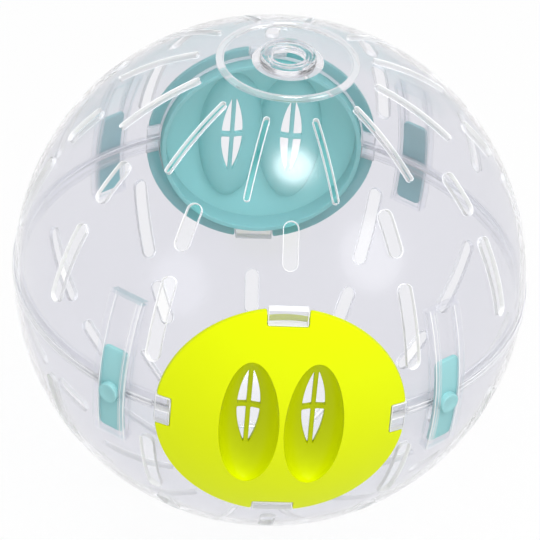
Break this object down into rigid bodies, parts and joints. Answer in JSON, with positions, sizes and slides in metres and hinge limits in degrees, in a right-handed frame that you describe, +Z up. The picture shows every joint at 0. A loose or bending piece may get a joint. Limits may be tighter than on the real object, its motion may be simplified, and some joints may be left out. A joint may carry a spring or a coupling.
{
  "type": "hamster exercise ball",
  "caption": "Clear two-part ball for a small pet to run in, with round push-in doors, slide latches over the seam, air slots and a hub at each pole.",
  "frame": {"origin": "centre of the ball", "axes": "+Z up through the upper hub, -Y out through the front door, +X to the right seen from the front"},
  "size_m": [0.1862, 0.1892, 0.1866],
  "materials": {
    "clear_shell": "clear polished moulded plastic",
    "yellow_door": "tinted translucent moulded plastic",
    "teal_door": "tinted translucent moulded plastic",
    "teal_latch": "moulded plastic"
  },
  "bodies": {
    "shell": {"upper_shell": "clear_shell", "lower_shell": "clear_shell"},
    "front_door": {"front_door": "yellow_door"},
    "rear_door": {"rear_door": "teal_door"},
    "front_left_latch": {"front_left_latch": "teal_latch"},
    "front_right_latch": {"front_right_latch": "teal_latch"},
    "rear_left_latch": {"rear_left_latch": "teal_latch"},
    "rear_right_latch": {"rear_right_latch": "teal_latch"}
  },
  "joints": [
    {"name": "front_door_pull", "type": "slide", "parent": "shell", "child": "front_door", "axis": [0, -1, 0], "range_m": [0, 0.12]},
    {"name": "rear_door_pull", "type": "slide", "parent": "shell", "child": "rear_door", "axis": [0, 1, 0], "range_m": [0, 0.12]},
    {"name": "front_left_latch_slide", "type": "hinge", "parent": "shell", "child": "front_left_latch", "pos_m": [0, 0, 0], "axis": [-0.788, 0.6157, 0], "range_deg": [0, 11.3]},
    {"name": "front_right_latch_slide", "type": "hinge", "parent": "shell", "child": "front_right_latch", "pos_m": [0, 0, 0], "axis": [-0.788, -0.6157, 0], "range_deg": [0, 11.3]},
    {"name": "rear_left_latch_slide", "type": "hinge", "parent": "shell", "child": "rear_left_latch", "pos_m": [0, 0, 0], "axis": [0.788, 0.6157, 0], "range_deg": [0, 11.3]},
    {"name": "rear_right_latch_slide", "type": "hinge", "parent": "shell", "child": "rear_right_latch", "pos_m": [0, 0, 0], "axis": [0.788, -0.6157, 0], "range_deg": [0, 11.3]}
  ]
}
